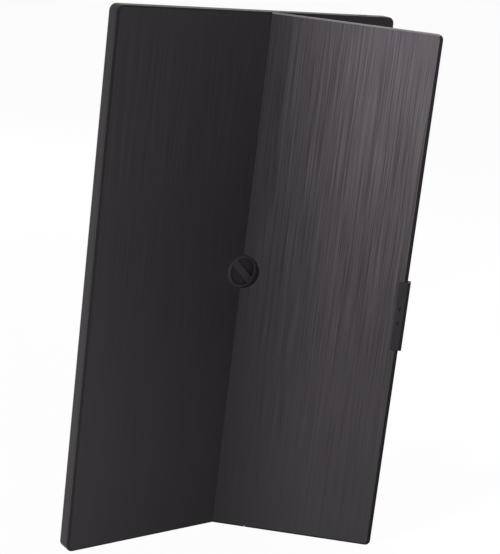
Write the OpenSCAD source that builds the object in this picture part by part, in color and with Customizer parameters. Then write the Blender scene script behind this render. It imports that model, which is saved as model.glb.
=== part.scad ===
// Portable monitor with a two-part cover, standing on its short edge.
// X runs across the monitor, +Y out of its screen and +Z up. The origin is the middle of the edge it stands on.
// All sizes are in millimetres.

/* [Screen] */
// Width of the lit area, along X
screen_w = 193.5; // [160:0.5:250]
// Height of the lit area, along Z
screen_h = 344.2; // [290:0.1:400]
// Border between the lit area and the monitor's -X side
screen_border = 17; // [13:0.5:30]
// Border between the lit area and the monitor's +X side
wide_border = 25.5; // [22:0.5:40]
// Border between the lit area and the monitor's lower and upper edges
end_border = 18.9; // [16:0.1:30]
// How far the glass reaches past the lit area
cell_margin = 3; // [2.5:0.1:4]
// Thickness of the liquid-crystal glass
cell_t = 1.2; // [1:0.1:1.4]
// Thickness of the films
films_t = 0.4; // [0.3:0.1:0.6]
// Thickness of the light guide
guide_t = 0.6; // [0.5:0.1:0.9]
// Thickness of the reflector sheet
reflector_t = 0.2; // [0.1:0.05:0.3]
// Thickness of the panel tray's sheet metal
tray_t = 0.3; // [0.2:0.05:0.4]
// Thickness of the panel tray's side walls
tray_wall = 1.5; // [1.2:0.1:2]
// Distance of the tray's -X ears from the middle of the screen
ear_reach = 60; // [40:1:70]
// Connector films between the glass and its board
source_flexes = 4; // [2:1:6]

/* [Monitor] */
// Thickness of the monitor, along Y
monitor_t = 8.5; // [8.2:0.1:12]
// Radius of the monitor's four corners
corner_r = 5; // [4:0.5:8]
// Thickness of the shell's side walls
side_wall = 1.4; // [1:0.1:2]
// Thickness of the shell's back wall
back_wall = 1; // [0.8:0.1:1.4]
// Depth of the bezel, from its front to where it meets the shell
bezel_depth = 2.2; // [2:0.1:2.4]
// Thickness of the bezel's face
bezel_face = 0.9; // [0.7:0.1:1.1]
// Snap tongues on each long side of the bezel
long_side_tongues = 4; // [2:2:6]
// Snap tongues on each short side of the bezel
short_side_tongues = 2; // [2:1:3]

/* [Boards] */
// Width of the main board, along X
board_w = 60; // [50:1:80]
// Height of the main board, along Z
board_h = 88; // [80:1:110]
// Thickness of every board
board_t = 0.8; // [0.6:0.1:1]
// Height of the posts under the boards
post_h = 0.8; // [0.6:0.1:1]
// Width of the board beside the glass
timing_w = 12; // [10:0.5:14]
// Room between the board beside the glass and the button's board
timing_room = 12; // [2:1:60]
// Width of the port, along X
port_w = 9; // [8.4:0.1:10]
// Thickness of the port, along Y
port_t = 3.2; // [3:0.1:3.4]
// Length of the port
port_l = 7.5; // [6.5:0.1:9]
// Distance from the port's middle to the monitor's +X side
port_inset = 28; // [20:1:40]

/* [Power button] */
// Radius of the button's cap
button_r = 3.2; // [2.5:0.1:4]
// How far the cap stands out of the bezel
button_proud = 0.5; // [0.4:0.1:0.8]
// How far the button travels
button_travel = 0.4; // [0.3:0.05:0.4]
// Distance from the button's middle to the monitor's +X side
button_inset = 11; // [9:0.5:14]
// Height of the button above the edge the monitor stands on
button_z = 24; // [20:1:30]
// Distance from the button up to the status lens
lens_offset = 9; // [8:0.5:11]
// Radius of the status lens
lens_r = 0.8; // [0.5:0.1:1.2]

/* [Cover] */
// Thickness of the cover's brushed skin
skin_t = 0.4; // [0.3:0.05:0.6]
// Thickness of the cover's board
stiffener_t = 0.8; // [0.7:0.1:1.2]
// Thickness of the cover's lining
lining_t = 0.3; // [0.2:0.05:0.5]
// Width of the cover's rim
rim_w = 2.5; // [2:0.1:4]
// Distance of the fold from the middle of the monitor
fold_x = 5; // [0:0.5:10]
// Width of the soft fold strip
fold_w = 24; // [20:0.5:30]
// Thickness of the soft fold strip
fold_t = 1.1; // [0.8:0.1:1.3]
// How far the closed flap's free edge reaches past the monitor's side
flap_lip = 5.5; // [4:0.5:10]
// Angle between the monitor's back and the flap as it stands
flap_open = 42; // [0:1:90]
// Radius of the flap's free corners
flap_corner_r = 4; // [3:0.5:6]
// Room between the closed flap and the monitor's back
close_gap = 0.2; // [0.1:0.05:0.3]
// Radius of the cover's magnets
cover_magnet_r = 5; // [4:0.5:8]
// Distance from the cover's magnets to the monitor's -X side
cover_magnet_inset = 18; // [14:1:30]

/* [Latch clip] */
// Length of the clip, along Z
clip_l = 51; // [40:1:80]
// How far the clip's middle lies below the middle of the monitor
clip_drop = 12; // [-110:1:110]
// How far the clip reaches over the flap's face
clip_overlap = 6; // [4.5:0.5:9]
// How far the clip stands out past the flap's free edge
clip_proud = 2.3; // [1.5:0.1:3]
// How far the clip reaches from the flap's face towards the screen
clip_depth = 6; // [5.6:0.1:7]
// Radius of the clip's magnets
clip_magnet_r = 1.6; // [1.2:0.1:1.8]
// Distance of the clip's magnets from its middle
clip_magnet_reach = 16; // [12:1:20]

/* [Hub lock] */
// How far the hub's middle lies above the middle of the monitor
hub_rise = 5; // [-100:1:100]
// Outer radius of the hub's ring
ring_r = 14.5; // [14:0.5:18]
// Radius of the knob
knob_r = 12; // [10:0.5:13]
// How far the knob stands out of the cover
knob_proud = 0.8; // [0.5:0.1:1.2]
// Radius of the stud's shaft
shaft_r = 4; // [3.5:0.1:4.5]
// Length of the stud's cross bar
bar_l = 13; // [12:0.5:14]
// Width of the stud's cross bar
bar_w = 5; // [4:0.5:6]

/* [Hidden] */
$fn = 48;

// Clearances
fit = 0.1;            // between pieces that are slid or laid into each other
running = 0.05;       // around a shaft that turns
seam = 0.3;           // between the soft strip and the flap's laminate
panel_gap = 0.2;      // between the glass and the bezel's face
cut = 1;              // how far a cutter runs past what it cuts

// The monitor's planes along Y and its edges along X
monitor_w = screen_border + screen_w + wide_border;
monitor_h = screen_h + 2 * end_border;
half_w = monitor_w / 2;
y_back = -monitor_t / 2;
y_front = monitor_t / 2;
y_floor = y_back + back_wall;
y_split = y_front - bezel_depth;
y_face = y_front - bezel_face;

// The display module, from the bezel's face backwards
y_cell_front = y_face - panel_gap;
y_cell = y_cell_front - cell_t;
y_films = y_cell - films_t;
y_guide = y_films - guide_t;
y_reflector = y_guide - reflector_t;
y_tray = y_reflector - tray_t;
screen_x = -half_w + screen_border + screen_w / 2;
screen_z = monitor_h / 2;
cell_x0 = screen_x - screen_w / 2 - cell_margin;
cell_x1 = screen_x + screen_w / 2 + cell_margin;
cell_z0 = screen_z - screen_h / 2 - cell_margin;
cell_z1 = screen_z + screen_h / 2 + cell_margin;
window_gap = 0.5;     // between the lit area and the bezel's window
led_depth = 1;        // room the light strip takes beside the guide
led_count = 24;
ear_w = 10;
ear_l = 8;
panel_screw_r = 0.95;
panel_head_r = 1.8;
panel_head_t = 0.6;
panel_boss_r = 2.5;
panel_screw_depth = 3;
// The boards lie on posts on the shell's floor
y_board = y_floor + post_h;
y_parts = y_board + board_t;
board_gap = 0.5;      // between the main board and the shell's top wall
board_x1 = half_w - side_wall - 2;
board_x0 = board_x1 - board_w;
board_z1 = monitor_h - side_wall - board_gap;
board_z0 = board_z1 - board_h;
ears = [for (x = [screen_x - ear_reach, board_x0 - ear_w], z = [cell_z0 - ear_l / 2, cell_z1 + ear_l / 2])
    [x, z]];
board_screw_r = 0.75;
board_head_r = 1.5;
board_head_t = 0.5;
board_boss_r = 2.2;
board_screw_depth = 1.2;
part_h = 1.5;         // tallest part on a board
part_gap = 5;         // between the parts on the main board
chip_w = 12;
chip_h = 0.9;
coil_w = 6;
capacitor_w = 2;
capacitor_h = 1;
capacitor_count = 4;
can_t = 0.2;
can_h = 34;

button_x = half_w - button_inset;
button_board_w = 12;
button_board_below = 9;   // below the button's middle
button_board_above = 16;  // above the lens's middle
button_board_z0 = button_z - button_board_below;
button_board_z1 = button_z + lens_offset + button_board_above;
switch_size = 6;
switch_h = 1.2;
plunger_r = 1.2;
plunger_h = 0.4;
y_plunger = y_parts + switch_h + plunger_h;
button_flange_t = 0.6;
button_flange_r = button_r + 1;
stem_r = 1.5;
lens_flange_t = 0.6;
lens_flange_r = lens_r + 0.7;
light_size = 1.2;     // the status light under the lens
light_h = 0.5;
flex_w = 5;
flex_t = 0.15;
flex_seat = 4;        // how far a flat cable lies on a board

// Main board's screws, then the button board's
screw_inset = 3.5;
board_screws_at = [
    [board_x0 + screw_inset, board_z0 + screw_inset],
    [board_x1 - screw_inset, board_z0 + flex_seat + 2 * screw_inset],
    [board_x0 + screw_inset, board_z1 - screw_inset],
    [button_x, button_board_z0 + screw_inset],
    [button_x, button_board_z1 - flex_seat - screw_inset],
];

// The board beside the glass, on a side flange of the tray
timing_gap = 2;       // between the glass and the board
timing_overlap = 29;  // how far the board reaches up past the main board's lower edge
timing_x0 = cell_x1 + timing_gap;
timing_x1 = timing_x0 + timing_w;
timing_z1 = board_z0 + timing_overlap;
timing_z0 = button_board_z1 + timing_room;
timing_l = timing_z1 - timing_z0;
y_timing = y_cell - flex_t - board_t;
source_flex_w = 16;
source_seat_glass = 1;
source_seat_board = 3;
timing_chip_h = 0.7;

// The flat cable from the main board to that board
ribbon_w = 12;
ribbon_t = 0.2;
plug_w = 4;
plug_t = 1;
plug_gap = 3;         // between the connector and the glass's side, and the ribbon and the board's end
plug_x0 = cell_x1 - plug_w - plug_gap;
ribbon_z0 = timing_z1 - ribbon_w - plug_gap;
ribbon_x0 = timing_x0 + timing_w / 6;
ribbon_x1 = timing_x0 + timing_w * 2 / 3;
flange_gap = 2;       // between the tray's side flange and the main board
can_x0 = board_x0 + 2 * screw_inset;
can_x1 = plug_x0 - part_gap / 2;
can_z0 = board_z0 + 2 * screw_inset + part_gap;
can_z1 = can_z0 + can_h;

port_x = half_w - port_inset;
port_y = y_parts + port_t / 2;
port_wall = 0.3;
port_recess = 0.3;    // how far the port's mouth lies below the edge
port_tongue_w = port_w - 2.3;
port_tongue_t = 0.7;
tongue_l = 12;
tongue_t = 0.8;
tongue_reach = 1.5;

// The cover's planes along Y
cover_t = skin_t + stiffener_t + lining_t;
y_outer = y_back - cover_t;
flap_t = cover_t - close_gap;
flap_x0 = fold_x + fold_w + seam;
flap_x1 = half_w + flap_lip;
cover_magnets_z = [for (i = [0 : 2]) monitor_h * (2 * i + 1) / 6];
keeper_w = 16;
keeper_h = 30;
keeper_t = 0.5;

// The soft strip's middle handles: how long it keeps to the monitor's back, then to the flap
strip_handle_back = 2;
strip_handle_flap = 8;
strip_steps = 16;

// The latch clip
clip_plate = 0.5;
clip_gap = 0.3;       // between the clip and the monitor's closed side
clip_z = monitor_h / 2 - clip_drop;
clip_x0 = half_w + clip_gap;
clip_x1 = flap_x1 + clip_proud;
clip_y1 = y_outer + clip_depth;
clip_magnet_y = (y_outer + flap_t + fit + clip_y1) / 2;
clip_magnet_l = 2.6;
grip_w = 1.4;
grip_l = 3.4;
grip_depth = 0.25;
grip_reach = 5.25;    // distance of the two grip marks from the clip's middle
grip_inset = 3;       // distance of the grip marks from the flap's free edge
latch_plate_t = 1;

// The hub lock
hub_z = monitor_h / 2 + hub_rise;
recess = 0.8;
washer_t = 0.2;
washer_inset = 3;     // between the washer's edge and the knob's
socket_wall = 1;      // between the socket's slot and its neck
socket_r = bar_l / 2 + socket_wall;
socket_flange_w = 2.5;
socket_flange_t = 0.5;
spigot_r = 2.5;
spigot_l = 0.7;
bar_t = 1;
y_recess = y_outer + recess;
y_knob = y_outer - knob_proud;
y_knob_back = y_recess - washer_t - running;
y_bar = y_floor + socket_flange_t + fit;
grip_bar_w = 5;
knob_edge = 2;
scoop_depth = 0.7;
notch_gap = 0.5;

// ---- shapes that repeat ----

// Rectangle with round corners between two corners
module rounded(x0, z0, x1, z1, r) {
    translate([x0 + r, z0]) square([x1 - x0 - 2 * r, z1 - z0]);
    translate([x0, z0 + r]) square([x1 - x0, z1 - z0 - 2 * r]);
    for (x = [x0 + r, x1 - r], z = [z0 + r, z1 - r])
        translate([x, z]) circle(r);
}

// The monitor's outline, moved inwards by a distance
module monitor_outline(inwards = 0) {
    rounded(-half_w + inwards, inwards, half_w - inwards, monitor_h - inwards, corner_r - inwards);
}

// Gives an outline in X and Z a thickness, from y towards the screen
module sheet(y, t) {
    translate([0, y + t, 0]) rotate([90, 0, 0]) linear_extrude(t) children();
}

// Round rod along Y, from y towards the screen
module rod(x, z, y, l, r) {
    translate([x, y, z]) rotate([-90, 0, 0]) cylinder(h = l, r = r);
}

// Box between two corners
module box(x0, y0, z0, x1, y1, z1) {
    translate([x0, y0, z0]) cube([x1 - x0, y1 - y0, z1 - z0]);
}

// Post with a pilot hole, on the shell's floor
module post(at, top, r, pilot_r, depth) {
    difference() {
        rod(at[0], at[1], y_floor - back_wall / 2, top - y_floor + back_wall / 2, r);
        rod(at[0], at[1], top - depth, depth + cut, pilot_r);
    }
}

// Screw whose head lies on y and whose shank runs towards the back
module screw(at, y, shank, r, head_r, head_t) {
    rod(at[0], at[1], y - shank, shank + head_t / 2, r);
    rod(at[0], at[1], y, head_t, head_r);
}

// Turns what is drawn on the closed flap to where the flap stands
module opened() {
    translate([fold_x, y_outer, 0])
        rotate([0, 0, -flap_open])
            translate([-fold_x, -y_outer, 0])
                children();
}

// ---- monitor ----

module rear_shell() {
    color("dimgray") {
        difference() {
            sheet(y_back, y_split - y_back) monitor_outline();
            sheet(y_floor, monitor_t) monitor_outline(side_wall);
            rod(fold_x, hub_z, y_back - cut, back_wall + 2 * cut, socket_r + fit);
            port_hole();
            for (at = board_screws_at)
                rod(at[0], at[1], y_board - board_screw_depth, board_screw_depth, board_screw_r + running);
        }
        for (at = board_screws_at)
            post(at, y_board, board_boss_r, board_screw_r + running, board_screw_depth);
        for (at = ears)
            post(at, y_tray, panel_boss_r, panel_screw_r + running, panel_screw_depth);
    }
}

module port_outline(grow = 0) {
    r = port_t / 2;
    for (side = [-1, 1])
        translate([port_x + side * (port_w / 2 - r), port_y]) circle(r + grow);
    translate([port_x - port_w / 2 + r, port_y - r - grow]) square([port_w - 2 * r, port_t + 2 * grow]);
}

module port_hole() {
    translate([0, 0, monitor_h - side_wall - cut]) linear_extrude(side_wall + 2 * cut) port_outline(fit);
}

module usb_port() {
    color("silver") {
        difference() {
            translate([0, 0, monitor_h - port_recess - port_l]) linear_extrude(port_l) port_outline();
            translate([0, 0, monitor_h - port_recess - port_l + cut]) linear_extrude(port_l)
                port_outline(-port_wall);
        }
        box(port_x - port_tongue_w / 2, port_y - port_tongue_t / 2, monitor_h - port_recess - port_l + cut / 2,
            port_x + port_tongue_w / 2, port_y + port_tongue_t / 2, monitor_h - port_recess - 1);
    }
}

// One snap tongue of the bezel at the middle of its lower edge
module tongue(from_middle) {
    edge = from_middle - side_wall;
    translate([-tongue_l / 2, y_split - tongue_reach, edge - fit - tongue_t])
        cube([tongue_l, tongue_reach + tongue_t, tongue_t]);
    translate([-tongue_l / 2, y_split, edge - fit - tongue_t])
        cube([tongue_l, tongue_t, tongue_t + 2 * fit]);
}

module tongues() {
    for (side = [-1, 1], i = [0 : long_side_tongues - 1])
        translate([0, 0, monitor_h * (i + 0.5) / long_side_tongues])
            rotate([0, side * 90, 0]) tongue(half_w);
    for (side = [0, 1], i = [0 : short_side_tongues - 1])
        translate([monitor_w * ((i + 0.5) / short_side_tongues - 0.5), 0, monitor_h / 2])
            rotate([0, side * 180, 0]) tongue(monitor_h / 2);
}

module front_bezel() {
    window_x = screen_w / 2 + window_gap;
    window_z = screen_h / 2 + window_gap;
    color([0.06, 0.06, 0.07]) {
        difference() {
            sheet(y_split, bezel_depth) monitor_outline();
            sheet(y_split - cut, y_face - y_split + cut) monitor_outline(side_wall);
            box(screen_x - window_x, y_split - cut, screen_z - window_z,
                screen_x + window_x, y_front + cut, screen_z + window_z);
            rod(button_x, button_z, y_face - cut, bezel_face + 2 * cut, button_r + fit);
            rod(button_x, button_z + lens_offset, y_face - cut, bezel_face + 2 * cut, lens_r + running);
        }
        tongues();
    }
}

// ---- display module ----

module lcd_cell() {
    color([0.03, 0.03, 0.04]) box(cell_x0, y_cell, cell_z0, cell_x1, y_cell_front, cell_z1);
}

// Sheet that fills the tray's inside, less a strip at its +X end
module in_tray(y, t, end_gap = 0) {
    box(cell_x0 + tray_wall + fit, y, cell_z0 + tray_wall + fit,
        cell_x1 - tray_wall - fit - end_gap, y + t, cell_z1 - tray_wall - fit);
}

module optical_films() {
    color("whitesmoke") in_tray(y_films, films_t);
}

module light_guide() {
    color("azure") in_tray(y_guide, guide_t, led_depth + fit);
}

module reflector_sheet() {
    color("white") in_tray(y_reflector, reflector_t, led_depth + fit);
}

module source_tabs(width, y, t, x0, x1) {
    pitch = timing_l / source_flexes;
    for (i = [0 : source_flexes - 1])
        box(x0, y, timing_z0 + pitch * (i + 0.5) - width / 2,
            x1, y + t, timing_z0 + pitch * (i + 0.5) + width / 2);
}

module panel_tray() {
    color("silver")
        difference() {
            union() {
                box(cell_x0, y_tray, cell_z0, cell_x1, y_cell, cell_z1);
                for (at = ears)
                    box(at[0] - ear_w / 2, y_tray, at[1] - ear_l / 2,
                        at[0] + ear_w / 2, y_tray + tray_t, at[1] + ear_l / 2);
                box(cell_x1 - tray_wall, y_tray, timing_z0,
                    timing_x1, y_tray + tray_t, board_z0 - flange_gap);
            }
            box(cell_x0 + tray_wall, y_reflector, cell_z0 + tray_wall,
                cell_x1 - tray_wall, y_cell + cut, cell_z1 - tray_wall);
            source_tabs(source_flex_w + 4 * fit, y_cell - flex_t - fit, cut, cell_x1 - tray_wall - cut,
                cell_x1 + cut);
            for (at = ears)
                rod(at[0], at[1], y_tray - cut, tray_t + 2 * cut, panel_screw_r + fit);
        }
}

module led_strip() {
    x1 = cell_x1 - tray_wall - fit;
    z0 = cell_z0 + tray_wall + fit;
    z1 = cell_z1 - tray_wall - fit;
    pitch = (z1 - z0) / led_count;
    color("khaki") {
        box(x1 - led_depth / 2, y_reflector, z0, x1, y_films, z1);
        for (i = [0 : led_count - 1])
            box(x1 - led_depth, y_reflector, z0 + pitch * (i + 0.2), x1, y_films, z0 + pitch * (i + 0.8));
    }
}

module timing_board() {
    middle = (timing_z0 + timing_z1) / 2;
    color("darkgreen") {
        box(timing_x0, y_timing, timing_z0, timing_x1, y_timing + board_t, timing_z1);
        box((timing_x0 + timing_x1) / 2, y_timing + board_t / 2, middle - timing_w / 2,
            timing_x1 - part_gap / 4, y_timing + board_t + timing_chip_h, middle + timing_w / 2);
    }
}

module source_flexes() {
    color("goldenrod") source_tabs(source_flex_w, y_cell - flex_t, flex_t,
        cell_x1 - source_seat_glass, timing_x0 + source_seat_board);
}

module panel_screws() {
    color("gray")
        for (at = ears)
            screw(at, y_tray + tray_t, tray_t + panel_screw_depth - fit, panel_screw_r,
                panel_head_r, panel_head_t);
}

// ---- boards ----

module main_board() {
    chip_x0 = (can_x0 + can_x1 - chip_w) / 2;
    chip_z0 = (can_z0 + can_z1 - chip_w) / 2;
    row_z0 = can_z1 + part_gap;
    row_x0 = can_x0 + coil_w + part_gap;
    color("darkgreen")
        difference() {
            union() {
                box(board_x0, y_board, board_z0, board_x1, y_parts, board_z1);
                // main chip, under the can
                box(chip_x0, y_board, chip_z0, chip_x0 + chip_w, y_parts + chip_h, chip_z0 + chip_w);
                // coil and capacitors, between the can and the port
                box(can_x0, y_board, row_z0, can_x0 + coil_w, y_parts + part_h, row_z0 + coil_w);
                for (i = [0 : capacitor_count - 1])
                    translate([row_x0 + 2 * capacitor_w * i, y_board, row_z0])
                        cube([capacitor_w, board_t + capacitor_h, coil_w / 2]);
            }
            for (i = [0 : 2])
                rod(board_screws_at[i][0], board_screws_at[i][1], y_board - cut, board_t + 2 * cut,
                    board_screw_r + fit);
        }
}

module shield_can() {
    color("lightgray")
        difference() {
            box(can_x0, y_parts, can_z0, can_x1, y_parts + part_h, can_z1);
            box(can_x0 + can_t, y_parts - cut, can_z0 + can_t,
                can_x1 - can_t, y_parts + part_h - can_t, can_z1 - can_t);
        }
}

module display_connector() {
    color("ivory")
        box(plug_x0, y_parts, ribbon_z0 - plug_t,
            plug_x0 + plug_w, y_parts + plug_t, ribbon_z0 + ribbon_w + plug_t);
}

// Flat cable: out of the connector, folded at the side, then back under the timing board
module display_ribbon() {
    y_low = y_parts + plug_t / 2;
    color("tan") {
        box(plug_x0 + plug_w, y_low, ribbon_z0, ribbon_x1, y_low + ribbon_t, ribbon_z0 + ribbon_w);
        box(ribbon_x1 - ribbon_t, y_low, ribbon_z0, ribbon_x1, y_timing, ribbon_z0 + ribbon_w);
        box(ribbon_x0, y_timing - ribbon_t, ribbon_z0, ribbon_x1, y_timing, ribbon_z0 + ribbon_w);
    }
}

module board_screws() {
    color("gray")
        for (at = board_screws_at)
            screw(at, y_parts, board_t + board_screw_depth - fit, board_screw_r, board_head_r, board_head_t);
}

module button_board() {
    color("darkgreen")
        difference() {
            union() {
                box(button_x - button_board_w / 2, y_board, button_board_z0,
                    button_x + button_board_w / 2, y_parts, button_board_z1);
                translate([button_x - light_size / 2, y_board, button_z + lens_offset - light_size / 2])
                    cube([light_size, board_t + light_h, light_size]);
            }
            for (i = [3 : 4])
                rod(board_screws_at[i][0], board_screws_at[i][1], y_board - cut, board_t + 2 * cut,
                    board_screw_r + fit);
        }
}

module button_switch() {
    color("silver") {
        translate([button_x - switch_size / 2, y_parts, button_z - switch_size / 2])
            cube([switch_size, switch_h, switch_size]);
        rod(button_x, button_z, y_parts + switch_h / 2, switch_h / 2 + plunger_h, plunger_r);
    }
}

module button_flex() {
    color("goldenrod")
        box(button_x - flex_w / 2, y_parts, button_board_z1 - flex_seat,
            button_x + flex_w / 2, y_parts + flex_t, board_z0 + flex_seat);
}

module power_button() {
    y_flange = y_face - running - button_flange_t;
    y_stem = y_plunger + button_travel + running;
    color([0.1, 0.1, 0.11]) {
        rod(button_x, button_z, y_flange, y_front + button_proud - y_flange, button_r);
        rod(button_x, button_z, y_flange, button_flange_t, button_flange_r);
        rod(button_x, button_z, y_stem, y_flange - y_stem + button_flange_t / 2, stem_r);
    }
}

module status_lens() {
    color("lightcyan") {
        rod(button_x, button_z + lens_offset, y_face - lens_flange_t, bezel_face + lens_flange_t, lens_r);
        rod(button_x, button_z + lens_offset, y_face - lens_flange_t, lens_flange_t, lens_flange_r);
    }
}

// ---- what the cover holds on to ----

module hub_socket() {
    slot_l = bar_l + 4 * fit;
    slot_w = bar_w + 4 * fit;
    color("silver")
        difference() {
            union() {
                rod(fold_x, hub_z, y_back, back_wall + socket_flange_t, socket_r);
                rod(fold_x, hub_z, y_floor, socket_flange_t, socket_r + socket_flange_w);
            }
            rod(fold_x, hub_z, y_back - cut, monitor_t, shaft_r + fit);
            box(fold_x - slot_l / 2, y_back - cut, hub_z - slot_w / 2,
                fold_x + slot_l / 2, y_back + monitor_t, hub_z + slot_w / 2);
        }
}

module keeper_plates() {
    x = -half_w + cover_magnet_inset;
    color("slategray")
        for (z = cover_magnets_z)
            box(x - keeper_w / 2, y_floor, z - keeper_h / 2,
                x + keeper_w / 2, y_floor + keeper_t, z + keeper_h / 2);
}

module latch_plate() {
    x1 = half_w - side_wall;
    color("slategray")
        box(x1 - latch_plate_t, y_floor, clip_z - clip_l / 2, x1,
            clip_magnet_y + clip_magnet_r, clip_z + clip_l / 2);
}

// ---- cover, fixed half ----

// The fixed half's outline, moved inwards, and ending at the fold
module fixed_outline(inwards = 0) {
    intersection() {
        monitor_outline(inwards);
        translate([-monitor_w, 0]) square([monitor_w + fold_x, monitor_h]);
    }
}

// One layer of the fixed half, between its rim and the fold and clear of the hub
module fixed_layer(y, t) {
    difference() {
        sheet(y, t) fixed_outline(rim_w + fit);
        rod(fold_x, hub_z, y - cut, t + 2 * cut, ring_r + fit);
    }
}

module fixed_skin() {
    color([0.2, 0.19, 0.2]) fixed_layer(y_outer, skin_t);
}

module fixed_board() {
    color([0.35, 0.33, 0.3])
        difference() {
            fixed_layer(y_outer + skin_t, stiffener_t);
            for (z = cover_magnets_z)
                rod(-half_w + cover_magnet_inset, z, y_outer, cover_t, cover_magnet_r + fit);
        }
}

module fixed_lining() {
    color([0.14, 0.14, 0.15]) fixed_layer(y_back - lining_t, lining_t);
}

module fixed_rim() {
    color([0.12, 0.12, 0.12])
        difference() {
            sheet(y_outer, cover_t) fixed_outline();
            sheet(y_outer - cut, cover_t + 2 * cut)
                rounded(-half_w + rim_w, rim_w, half_w, monitor_h - rim_w, corner_r - rim_w);
        }
}

module cover_magnets() {
    color("darkgray")
        for (z = cover_magnets_z)
            rod(-half_w + cover_magnet_inset, z, y_outer + skin_t, stiffener_t, cover_magnet_r);
}

// ---- cover, fold ----

function bezier(t, p) =
    (1 - t) ^ 3 * p[0] + 3 * (1 - t) ^ 2 * t * p[1] + 3 * (1 - t) * t ^ 2 * p[2] + t ^ 3 * p[3];

function bezier_run(t, p) =
    (1 - t) ^ 2 * (p[1] - p[0]) + 2 * (1 - t) * t * (p[2] - p[1]) + t ^ 2 * (p[3] - p[2]);

// Point of the strip at a share of its width, a distance in from its outer face
function strip_point(t, p, inwards) =
    let (run = bezier_run(t, p), across = [-run[1], run[0]] / norm(run))
    bezier(t, p) + inwards * across;

module fold_strip() {
    along_flap = [cos(flap_open), -sin(flap_open)];
    start = [fold_x, y_outer];
    end = start + fold_w * along_flap;
    path = [start, start + [strip_handle_back, 0], end - strip_handle_flap * along_flap, end];
    outer = [for (i = [0 : strip_steps]) strip_point(i / strip_steps, path, 0)];
    inner = [for (i = [strip_steps : -1 : 0]) strip_point(i / strip_steps, path, fold_t)];
    color([0.22, 0.21, 0.22])
        difference() {
            linear_extrude(monitor_h) polygon(concat(outer, inner));
            rod(fold_x, hub_z, y_outer - fold_w, fold_w + cover_t + cut, ring_r + notch_gap);
        }
}

// ---- cover, flap ----

// The flap's outline, moved inwards on its three free sides
module flap_outline(inwards = 0) {
    intersection() {
        rounded(fold_x, inwards, flap_x1 - inwards, monitor_h - inwards, flap_corner_r - inwards);
        translate([flap_x0, 0]) square([monitor_w, monitor_h]);
    }
}

module flap_skin() {
    color([0.3, 0.29, 0.3]) opened() sheet(y_outer, skin_t) flap_outline(rim_w + fit);
}

module flap_board() {
    color([0.35, 0.33, 0.3]) opened()
        sheet(y_outer + skin_t, stiffener_t - close_gap) flap_outline(rim_w + fit);
}

module flap_lining() {
    color([0.14, 0.14, 0.15]) opened()
        sheet(y_outer + flap_t - lining_t, lining_t) flap_outline(rim_w + fit);
}

module flap_rim() {
    color([0.12, 0.12, 0.12]) opened()
        difference() {
            sheet(y_outer, flap_t) flap_outline();
            sheet(y_outer - cut, flap_t + 2 * cut)
                rounded(fold_x, rim_w, flap_x1 - rim_w, monitor_h - rim_w, flap_corner_r - rim_w);
        }
}

module latch_clip() {
    z0 = clip_z - clip_l / 2;
    z1 = clip_z + clip_l / 2;
    color([0.16, 0.16, 0.17]) opened()
        difference() {
            union() {
                box(flap_x1 - clip_overlap, y_outer - clip_plate, z0, clip_x1, y_outer, z1);
                box(flap_x1 + fit, y_outer - clip_plate, z0, clip_x1, clip_y1, z1);
                box(clip_x0, y_outer + flap_t + fit, z0, clip_x1, clip_y1, z1);
            }
            for (side = [-1, 1]) {
                translate([clip_x0, clip_magnet_y, clip_z + side * clip_magnet_reach])
                    rotate([0, 90, 0]) translate([0, 0, -cut])
                        cylinder(h = clip_magnet_l + fit + cut, r = clip_magnet_r + running);
                translate([flap_x1 - grip_inset, y_outer - clip_plate, clip_z + side * grip_reach])
                    cube([grip_w, 2 * grip_depth, grip_l], center = true);
            }
        }
}

module latch_magnets() {
    color("darkgray") opened()
        for (side = [-1, 1])
            translate([clip_x0 + fit, clip_magnet_y, clip_z + side * clip_magnet_reach])
                rotate([0, 90, 0]) cylinder(h = clip_magnet_l, r = clip_magnet_r);
}

// ---- hub lock ----

module hub_ring() {
    color("gray")
        difference() {
            rod(fold_x, hub_z, y_outer, cover_t, ring_r);
            rod(fold_x, hub_z, y_outer - cut, recess + cut, knob_r + fit);
            rod(fold_x, hub_z, y_outer - cut, cover_t + 2 * cut, shaft_r + running);
        }
}

module hub_knob() {
    color([0.24, 0.24, 0.25])
        difference() {
            rod(fold_x, hub_z, y_knob, y_knob_back - y_knob, knob_r);
            // two scoops leave a grip bar between them
            difference() {
                rod(fold_x, hub_z, y_knob - cut, scoop_depth + cut, knob_r - knob_edge);
                translate([fold_x, y_knob, hub_z]) rotate([0, -45, 0])
                    cube([grip_bar_w, 4 * cut, 2 * knob_r], center = true);
            }
            rod(fold_x, hub_z, y_knob_back - spigot_l, spigot_l + cut, spigot_r + running);
        }
}

module hub_stud() {
    color("silver") {
        rod(fold_x, hub_z, y_knob_back - spigot_l + running, spigot_l, spigot_r);
        rod(fold_x, hub_z, y_knob_back, y_bar + bar_t - y_knob_back, shaft_r);
        box(fold_x - bar_w / 2, y_bar, hub_z - bar_l / 2, fold_x + bar_w / 2, y_bar + bar_t, hub_z + bar_l / 2);
    }
}

module hub_washer() {
    color("white")
        difference() {
            rod(fold_x, hub_z, y_recess - washer_t, washer_t, knob_r - washer_inset);
            rod(fold_x, hub_z, y_recess - cut, 2 * cut, shaft_r + fit);
        }
}

rear_shell();
front_bezel();
lcd_cell();
optical_films();
light_guide();
reflector_sheet();
panel_tray();
led_strip();
timing_board();
source_flexes();
panel_screws();
main_board();
shield_can();
usb_port();
display_connector();
display_ribbon();
board_screws();
button_board();
button_switch();
button_flex();
power_button();
status_lens();
hub_socket();
keeper_plates();
latch_plate();
fixed_board();
fixed_skin();
fixed_lining();
fixed_rim();
cover_magnets();
hub_ring();
fold_strip();
flap_board();
flap_skin();
flap_lining();
flap_rim();
latch_clip();
latch_magnets();
hub_knob();
hub_stud();
hub_washer();
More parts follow.
